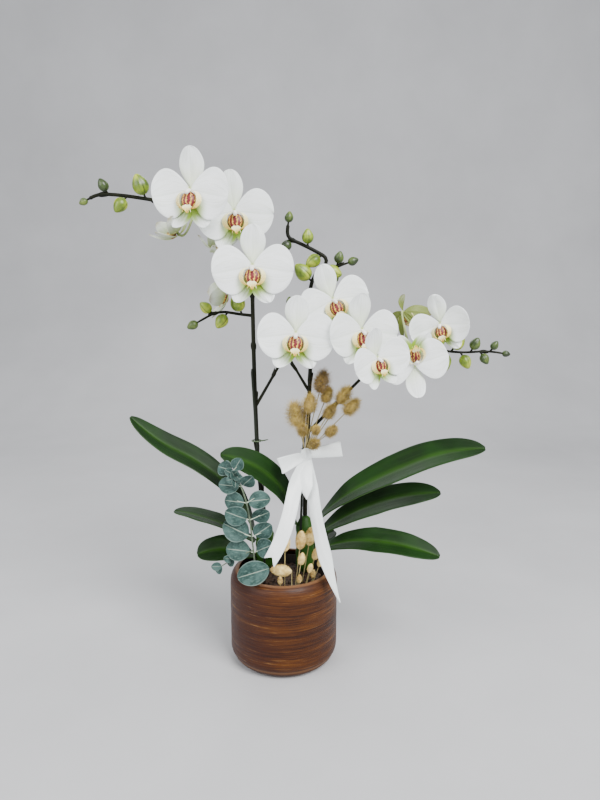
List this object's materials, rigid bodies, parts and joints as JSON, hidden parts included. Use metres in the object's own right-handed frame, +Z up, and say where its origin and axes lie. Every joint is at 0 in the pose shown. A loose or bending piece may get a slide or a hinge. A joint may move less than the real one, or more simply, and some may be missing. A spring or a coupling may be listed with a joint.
{
  "type": "potted orchid",
  "caption": "White moth orchid in bloom in a glazed cover pot, dressed with eucalyptus, dried bunny-tail grass and a ribbon bow; stands on the pot's flat foot.",
  "frame": {"origin": "centre of the pot's foot, on the surface it stands on", "axes": "+Z up along the pot's axis; the flowers face -Y"},
  "size_m": [0.537, 0.1765, 0.6319],
  "materials": {
    "pot_glaze": "streaky brown glaze, satin",
    "plastic": "dark thin plastic",
    "bark": "rough bark chips",
    "leaf": "thick waxy leaf, satin gloss",
    "stem": "smooth dark stem with green buds",
    "petal": "soft matt petal, yellow-green throat",
    "stake": "dark green stained cane",
    "clip": "green plastic",
    "eucalyptus": "matt grey-green leaf with bloom",
    "grass": "dry fuzzy seed head",
    "ribbon": "white satin ribbon"
  },
  "bodies": {
    "root": {"cover_pot": "pot_glaze", "nursery_pot": "plastic", "potting_bark": "bark", "crown_left": "leaf", "crown_right": "leaf", "leaf_left_1": "leaf", "leaf_left_2": "leaf", "leaf_left_3": "leaf", "leaf_middle": "leaf", "leaf_right_1": "leaf", "leaf_right_2": "leaf", "leaf_right_3": "leaf", "leaf_right_4": "leaf", "spike_left": "stem", "spike_right": "stem", "flower_01": "petal", "flower_02": "petal", "flower_03": "petal", "flower_04": "petal", "flower_05": "petal", "flower_06": "petal", "flower_07": "petal", "flower_08": "petal", "flower_09": "petal", "flower_10": "petal", "flower_11": "petal", "flower_12": "petal", "flower_13": "petal", "stake_left": "stake", "stake_right": "stake", "stake_clip": "clip", "eucalyptus_sprig": "eucalyptus", "ribbon_bow": "ribbon", "grass_top_01": "grass", "grass_top_02": "grass", "grass_top_03": "grass", "grass_top_04": "grass", "grass_top_05": "grass", "grass_top_06": "grass", "grass_top_07": "grass", "grass_top_08": "grass", "grass_top_09": "grass", "grass_top_10": "grass", "grass_top_11": "grass", "grass_pot_01": "grass", "grass_pot_02": "grass", "grass_pot_03": "grass", "grass_pot_04": "grass", "grass_pot_05": "grass", "grass_pot_06": "grass", "grass_pot_07": "grass", "grass_pot_08": "grass", "grass_pot_09": "grass", "grass_pot_10": "grass", "grass_pot_11": "grass"}
  },
  "joints": []
}
